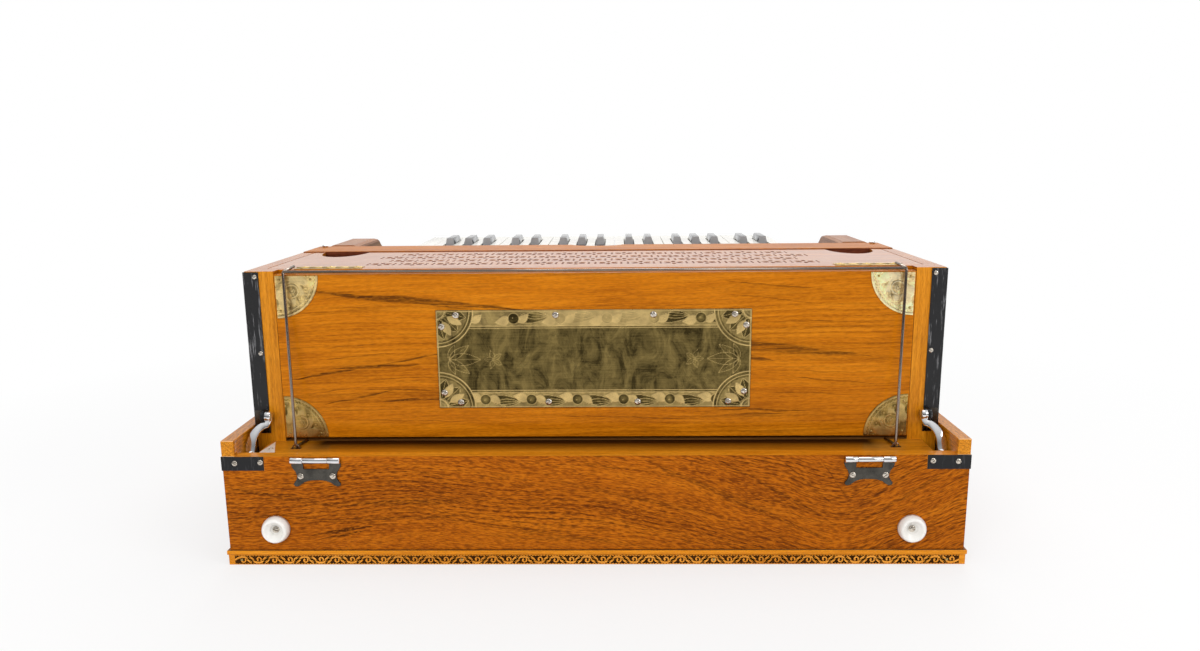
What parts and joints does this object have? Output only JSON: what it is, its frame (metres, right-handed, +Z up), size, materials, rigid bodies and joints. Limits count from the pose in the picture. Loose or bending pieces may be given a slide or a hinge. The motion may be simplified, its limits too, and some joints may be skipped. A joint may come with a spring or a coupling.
{
  "type": "indian harmonium",
  "caption": "Folding hand-pumped reed organ: keyboard cabinet raised on four arms above a shallow wooden case tray, with a bellows board at the back.",
  "frame": {"origin": "centre of the base on the surface it stands on", "axes": "+Z up; -Y faces the audience (bellows board); +Y faces the player; +X is the player's left, the low notes"},
  "size_m": [0.695, 0.4534, 0.278],
  "materials": {
    "veneer": "figured veneer under gloss varnish",
    "wood": "gloss varnish",
    "chrome": "polished plating",
    "brass": "engraved brass",
    "black_metal": "satin black",
    "white": "moulded",
    "ivory": "key covering",
    "black_key": "gloss",
    "cloth": "bellows cloth"
  },
  "bodies": {
    "tray": {"case_tray": "veneer", "base_plinth": "wood", "lid_hinge_left": "chrome", "lid_hinge_right": "chrome", "buffer_left": "white", "buffer_right": "white"},
    "arm_front_left": {"arm_front_left": "chrome"},
    "arm_front_right": {"arm_front_right": "chrome"},
    "arm_rear_left": {"arm_rear_left": "chrome"},
    "arm_rear_right": {"arm_rear_right": "chrome"},
    "cabinet": {"cabinet_case": "wood", "corner_angle_left": "black_metal", "corner_angle_right": "black_metal", "rear_rail": "wood", "bellows_folds": "cloth"},
    "bellows": {"bellows_board": "wood", "brass_plate": "brass"},
    "bail": {"wire_bail": "chrome"},
    "lid": {"top_lid": "wood"},
    "carriage": {"key_carriage": "wood"},
    "key_c_1": {"key_c_1": "ivory"},
    "key_c_sharp_1": {"key_c_sharp_1": "black_key"},
    "key_d_1": {"key_d_1": "ivory"},
    "key_d_sharp_1": {"key_d_sharp_1": "black_key"},
    "key_e_1": {"key_e_1": "ivory"},
    "key_f_1": {"key_f_1": "ivory"},
    "key_f_sharp_1": {"key_f_sharp_1": "black_key"},
    "key_g_1": {"key_g_1": "ivory"},
    "key_g_sharp_1": {"key_g_sharp_1": "black_key"},
    "key_a_1": {"key_a_1": "ivory"},
    "key_a_sharp_1": {"key_a_sharp_1": "black_key"},
    "key_b_1": {"key_b_1": "ivory"},
    "key_c_2": {"key_c_2": "ivory"},
    "key_c_sharp_2": {"key_c_sharp_2": "black_key"},
    "key_d_2": {"key_d_2": "ivory"},
    "key_d_sharp_2": {"key_d_sharp_2": "black_key"},
    "key_e_2": {"key_e_2": "ivory"},
    "key_f_2": {"key_f_2": "ivory"},
    "key_f_sharp_2": {"key_f_sharp_2": "black_key"},
    "key_g_2": {"key_g_2": "ivory"},
    "key_g_sharp_2": {"key_g_sharp_2": "black_key"},
    "key_a_2": {"key_a_2": "ivory"},
    "key_a_sharp_2": {"key_a_sharp_2": "black_key"},
    "key_b_2": {"key_b_2": "ivory"},
    "key_c_3": {"key_c_3": "ivory"},
    "key_c_sharp_3": {"key_c_sharp_3": "black_key"},
    "key_d_3": {"key_d_3": "ivory"},
    "key_d_sharp_3": {"key_d_sharp_3": "black_key"},
    "key_e_3": {"key_e_3": "ivory"},
    "key_f_3": {"key_f_3": "ivory"},
    "key_f_sharp_3": {"key_f_sharp_3": "black_key"},
    "key_g_3": {"key_g_3": "ivory"},
    "key_g_sharp_3": {"key_g_sharp_3": "black_key"},
    "key_a_3": {"key_a_3": "ivory"},
    "key_a_sharp_3": {"key_a_sharp_3": "black_key"},
    "key_b_3": {"key_b_3": "ivory"},
    "key_c_4": {"key_c_4": "ivory"},
    "stop_knob_left": {"stop_knob_left": "black_key"},
    "stop_knob_centre": {"stop_knob_centre": "black_key"},
    "stop_knob_right": {"stop_knob_right": "black_key"}
  },
  "joints": [
    {"name": "lift", "type": "hinge", "parent": "tray", "child": "arm_front_left", "pos_m": [-0.32775, -0.19823, 0.099], "axis": [-1, 0, 0], "range_deg": [0, 116.5]},
    {"name": "cabinet_level", "type": "hinge", "parent": "arm_front_left", "child": "cabinet", "pos_m": [-0.31475, -0.17723, 0.133], "axis": [-1, 0, 0], "range_deg": [-116.5, 0]},
    {"name": "arm_front_right_turn", "type": "hinge", "parent": "tray", "child": "arm_front_right", "pos_m": [0.32775, -0.19823, 0.099], "axis": [-1, 0, 0], "range_deg": [0, 116.5]},
    {"name": "arm_rear_left_turn", "type": "hinge", "parent": "tray", "child": "arm_rear_left", "pos_m": [-0.32775, 0.16027, 0.099], "axis": [-1, 0, 0], "range_deg": [0, 116.5]},
    {"name": "arm_rear_right_turn", "type": "hinge", "parent": "tray", "child": "arm_rear_right", "pos_m": [0.32775, 0.16027, 0.099], "axis": [-1, 0, 0], "range_deg": [0, 116.5]},
    {"name": "bellows_swing", "type": "hinge", "parent": "cabinet", "child": "bellows", "pos_m": [0, -0.16723, 0.11], "axis": [1, 0, 0], "range_deg": [0, 16]},
    {"name": "bail_swing", "type": "hinge", "parent": "cabinet", "child": "bail", "pos_m": [0, -0.19173, 0.1073], "axis": [1, 0, 0], "range_deg": [0, 16]},
    {"name": "lid_turn", "type": "hinge", "parent": "cabinet", "child": "lid", "pos_m": [0, -0.14643, 0.2732], "axis": [1, 0, 0], "range_deg": [0, 105]},
    {"name": "scale_slide", "type": "slide", "parent": "cabinet", "child": "carriage", "axis": [1, 0, 0], "range_m": [-0.047, 0.047]},
    {"name": "key_c_1_press", "type": "hinge", "parent": "carriage", "child": "key_c_1", "pos_m": [0, 0.08127, 0.2462], "axis": [-1, 0, 0], "range_deg": [0, 4.2], "stiffness_Nm_per_rad": 0.3, "springref_deg": -5.73},
    {"name": "key_c_sharp_1_press", "type": "hinge", "parent": "carriage", "child": "key_c_sharp_1", "pos_m": [0, 0.08127, 0.2462], "axis": [-1, 0, 0], "range_deg": [0, 4.2], "stiffness_Nm_per_rad": 0.3, "springref_deg": -5.73},
    {"name": "key_d_1_press", "type": "hinge", "parent": "carriage", "child": "key_d_1", "pos_m": [0, 0.08127, 0.2462], "axis": [-1, 0, 0], "range_deg": [0, 4.2], "stiffness_Nm_per_rad": 0.3, "springref_deg": -5.73},
    {"name": "key_d_sharp_1_press", "type": "hinge", "parent": "carriage", "child": "key_d_sharp_1", "pos_m": [0, 0.08127, 0.2462], "axis": [-1, 0, 0], "range_deg": [0, 4.2], "stiffness_Nm_per_rad": 0.3, "springref_deg": -5.73},
    {"name": "key_e_1_press", "type": "hinge", "parent": "carriage", "child": "key_e_1", "pos_m": [0, 0.08127, 0.2462], "axis": [-1, 0, 0], "range_deg": [0, 4.2], "stiffness_Nm_per_rad": 0.3, "springref_deg": -5.73},
    {"name": "key_f_1_press", "type": "hinge", "parent": "carriage", "child": "key_f_1", "pos_m": [0, 0.08127, 0.2462], "axis": [-1, 0, 0], "range_deg": [0, 4.2], "stiffness_Nm_per_rad": 0.3, "springref_deg": -5.73},
    {"name": "key_f_sharp_1_press", "type": "hinge", "parent": "carriage", "child": "key_f_sharp_1", "pos_m": [0, 0.08127, 0.2462], "axis": [-1, 0, 0], "range_deg": [0, 4.2], "stiffness_Nm_per_rad": 0.3, "springref_deg": -5.73},
    {"name": "key_g_1_press", "type": "hinge", "parent": "carriage", "child": "key_g_1", "pos_m": [0, 0.08127, 0.2462], "axis": [-1, 0, 0], "range_deg": [0, 4.2], "stiffness_Nm_per_rad": 0.3, "springref_deg": -5.73},
    {"name": "key_g_sharp_1_press", "type": "hinge", "parent": "carriage", "child": "key_g_sharp_1", "pos_m": [0, 0.08127, 0.2462], "axis": [-1, 0, 0], "range_deg": [0, 4.2], "stiffness_Nm_per_rad": 0.3, "springref_deg": -5.73},
    {"name": "key_a_1_press", "type": "hinge", "parent": "carriage", "child": "key_a_1", "pos_m": [0, 0.08127, 0.2462], "axis": [-1, 0, 0], "range_deg": [0, 4.2], "stiffness_Nm_per_rad": 0.3, "springref_deg": -5.73},
    {"name": "key_a_sharp_1_press", "type": "hinge", "parent": "carriage", "child": "key_a_sharp_1", "pos_m": [0, 0.08127, 0.2462], "axis": [-1, 0, 0], "range_deg": [0, 4.2], "stiffness_Nm_per_rad": 0.3, "springref_deg": -5.73},
    {"name": "key_b_1_press", "type": "hinge", "parent": "carriage", "child": "key_b_1", "pos_m": [0, 0.08127, 0.2462], "axis": [-1, 0, 0], "range_deg": [0, 4.2], "stiffness_Nm_per_rad": 0.3, "springref_deg": -5.73},
    {"name": "key_c_2_press", "type": "hinge", "parent": "carriage", "child": "key_c_2", "pos_m": [0, 0.08127, 0.2462], "axis": [-1, 0, 0], "range_deg": [0, 4.2], "stiffness_Nm_per_rad": 0.3, "springref_deg": -5.73},
    {"name": "key_c_sharp_2_press", "type": "hinge", "parent": "carriage", "child": "key_c_sharp_2", "pos_m": [0, 0.08127, 0.2462], "axis": [-1, 0, 0], "range_deg": [0, 4.2], "stiffness_Nm_per_rad": 0.3, "springref_deg": -5.73},
    {"name": "key_d_2_press", "type": "hinge", "parent": "carriage", "child": "key_d_2", "pos_m": [0, 0.08127, 0.2462], "axis": [-1, 0, 0], "range_deg": [0, 4.2], "stiffness_Nm_per_rad": 0.3, "springref_deg": -5.73},
    {"name": "key_d_sharp_2_press", "type": "hinge", "parent": "carriage", "child": "key_d_sharp_2", "pos_m": [0, 0.08127, 0.2462], "axis": [-1, 0, 0], "range_deg": [0, 4.2], "stiffness_Nm_per_rad": 0.3, "springref_deg": -5.73},
    {"name": "key_e_2_press", "type": "hinge", "parent": "carriage", "child": "key_e_2", "pos_m": [0, 0.08127, 0.2462], "axis": [-1, 0, 0], "range_deg": [0, 4.2], "stiffness_Nm_per_rad": 0.3, "springref_deg": -5.73},
    {"name": "key_f_2_press", "type": "hinge", "parent": "carriage", "child": "key_f_2", "pos_m": [0, 0.08127, 0.2462], "axis": [-1, 0, 0], "range_deg": [0, 4.2], "stiffness_Nm_per_rad": 0.3, "springref_deg": -5.73},
    {"name": "key_f_sharp_2_press", "type": "hinge", "parent": "carriage", "child": "key_f_sharp_2", "pos_m": [0, 0.08127, 0.2462], "axis": [-1, 0, 0], "range_deg": [0, 4.2], "stiffness_Nm_per_rad": 0.3, "springref_deg": -5.73},
    {"name": "key_g_2_press", "type": "hinge", "parent": "carriage", "child": "key_g_2", "pos_m": [0, 0.08127, 0.2462], "axis": [-1, 0, 0], "range_deg": [0, 4.2], "stiffness_Nm_per_rad": 0.3, "springref_deg": -5.73},
    {"name": "key_g_sharp_2_press", "type": "hinge", "parent": "carriage", "child": "key_g_sharp_2", "pos_m": [0, 0.08127, 0.2462], "axis": [-1, 0, 0], "range_deg": [0, 4.2], "stiffness_Nm_per_rad": 0.3, "springref_deg": -5.73},
    {"name": "key_a_2_press", "type": "hinge", "parent": "carriage", "child": "key_a_2", "pos_m": [0, 0.08127, 0.2462], "axis": [-1, 0, 0], "range_deg": [0, 4.2], "stiffness_Nm_per_rad": 0.3, "springref_deg": -5.73},
    {"name": "key_a_sharp_2_press", "type": "hinge", "parent": "carriage", "child": "key_a_sharp_2", "pos_m": [0, 0.08127, 0.2462], "axis": [-1, 0, 0], "range_deg": [0, 4.2], "stiffness_Nm_per_rad": 0.3, "springref_deg": -5.73},
    {"name": "key_b_2_press", "type": "hinge", "parent": "carriage", "child": "key_b_2", "pos_m": [0, 0.08127, 0.2462], "axis": [-1, 0, 0], "range_deg": [0, 4.2], "stiffness_Nm_per_rad": 0.3, "springref_deg": -5.73},
    {"name": "key_c_3_press", "type": "hinge", "parent": "carriage", "child": "key_c_3", "pos_m": [0, 0.08127, 0.2462], "axis": [-1, 0, 0], "range_deg": [0, 4.2], "stiffness_Nm_per_rad": 0.3, "springref_deg": -5.73},
    {"name": "key_c_sharp_3_press", "type": "hinge", "parent": "carriage", "child": "key_c_sharp_3", "pos_m": [0, 0.08127, 0.2462], "axis": [-1, 0, 0], "range_deg": [0, 4.2], "stiffness_Nm_per_rad": 0.3, "springref_deg": -5.73},
    {"name": "key_d_3_press", "type": "hinge", "parent": "carriage", "child": "key_d_3", "pos_m": [0, 0.08127, 0.2462], "axis": [-1, 0, 0], "range_deg": [0, 4.2], "stiffness_Nm_per_rad": 0.3, "springref_deg": -5.73},
    {"name": "key_d_sharp_3_press", "type": "hinge", "parent": "carriage", "child": "key_d_sharp_3", "pos_m": [0, 0.08127, 0.2462], "axis": [-1, 0, 0], "range_deg": [0, 4.2], "stiffness_Nm_per_rad": 0.3, "springref_deg": -5.73},
    {"name": "key_e_3_press", "type": "hinge", "parent": "carriage", "child": "key_e_3", "pos_m": [0, 0.08127, 0.2462], "axis": [-1, 0, 0], "range_deg": [0, 4.2], "stiffness_Nm_per_rad": 0.3, "springref_deg": -5.73},
    {"name": "key_f_3_press", "type": "hinge", "parent": "carriage", "child": "key_f_3", "pos_m": [0, 0.08127, 0.2462], "axis": [-1, 0, 0], "range_deg": [0, 4.2], "stiffness_Nm_per_rad": 0.3, "springref_deg": -5.73},
    {"name": "key_f_sharp_3_press", "type": "hinge", "parent": "carriage", "child": "key_f_sharp_3", "pos_m": [0, 0.08127, 0.2462], "axis": [-1, 0, 0], "range_deg": [0, 4.2], "stiffness_Nm_per_rad": 0.3, "springref_deg": -5.73},
    {"name": "key_g_3_press", "type": "hinge", "parent": "carriage", "child": "key_g_3", "pos_m": [0, 0.08127, 0.2462], "axis": [-1, 0, 0], "range_deg": [0, 4.2], "stiffness_Nm_per_rad": 0.3, "springref_deg": -5.73},
    {"name": "key_g_sharp_3_press", "type": "hinge", "parent": "carriage", "child": "key_g_sharp_3", "pos_m": [0, 0.08127, 0.2462], "axis": [-1, 0, 0], "range_deg": [0, 4.2], "stiffness_Nm_per_rad": 0.3, "springref_deg": -5.73},
    {"name": "key_a_3_press", "type": "hinge", "parent": "carriage", "child": "key_a_3", "pos_m": [0, 0.08127, 0.2462], "axis": [-1, 0, 0], "range_deg": [0, 4.2], "stiffness_Nm_per_rad": 0.3, "springref_deg": -5.73},
    {"name": "key_a_sharp_3_press", "type": "hinge", "parent": "carriage", "child": "key_a_sharp_3", "pos_m": [0, 0.08127, 0.2462], "axis": [-1, 0, 0], "range_deg": [0, 4.2], "stiffness_Nm_per_rad": 0.3, "springref_deg": -5.73},
    {"name": "key_b_3_press", "type": "hinge", "parent": "carriage", "child": "key_b_3", "pos_m": [0, 0.08127, 0.2462], "axis": [-1, 0, 0], "range_deg": [0, 4.2], "stiffness_Nm_per_rad": 0.3, "springref_deg": -5.73},
    {"name": "key_c_4_press", "type": "hinge", "parent": "carriage", "child": "key_c_4", "pos_m": [0, 0.08127, 0.2462], "axis": [-1, 0, 0], "range_deg": [0, 4.2], "stiffness_Nm_per_rad": 0.3, "springref_deg": -5.73},
    {"name": "stop_knob_left_pull", "type": "slide", "parent": "cabinet", "child": "stop_knob_left", "axis": [0, 1, 0], "range_m": [0, 0.015]},
    {"name": "stop_knob_centre_pull", "type": "slide", "parent": "cabinet", "child": "stop_knob_centre", "axis": [0, 1, 0], "range_m": [0, 0.015]},
    {"name": "stop_knob_right_pull", "type": "slide", "parent": "cabinet", "child": "stop_knob_right", "axis": [0, 1, 0], "range_m": [0, 0.015]}
  ],
  "couplings": [
    {"joint": "cabinet_level", "follows": "lift", "ratio": -1},
    {"joint": "arm_front_right_turn", "follows": "lift", "ratio": 1},
    {"joint": "arm_rear_left_turn", "follows": "lift", "ratio": 1},
    {"joint": "arm_rear_right_turn", "follows": "lift", "ratio": 1},
    {"joint": "bail_swing", "follows": "bellows_swing", "ratio": 1}
  ]
}
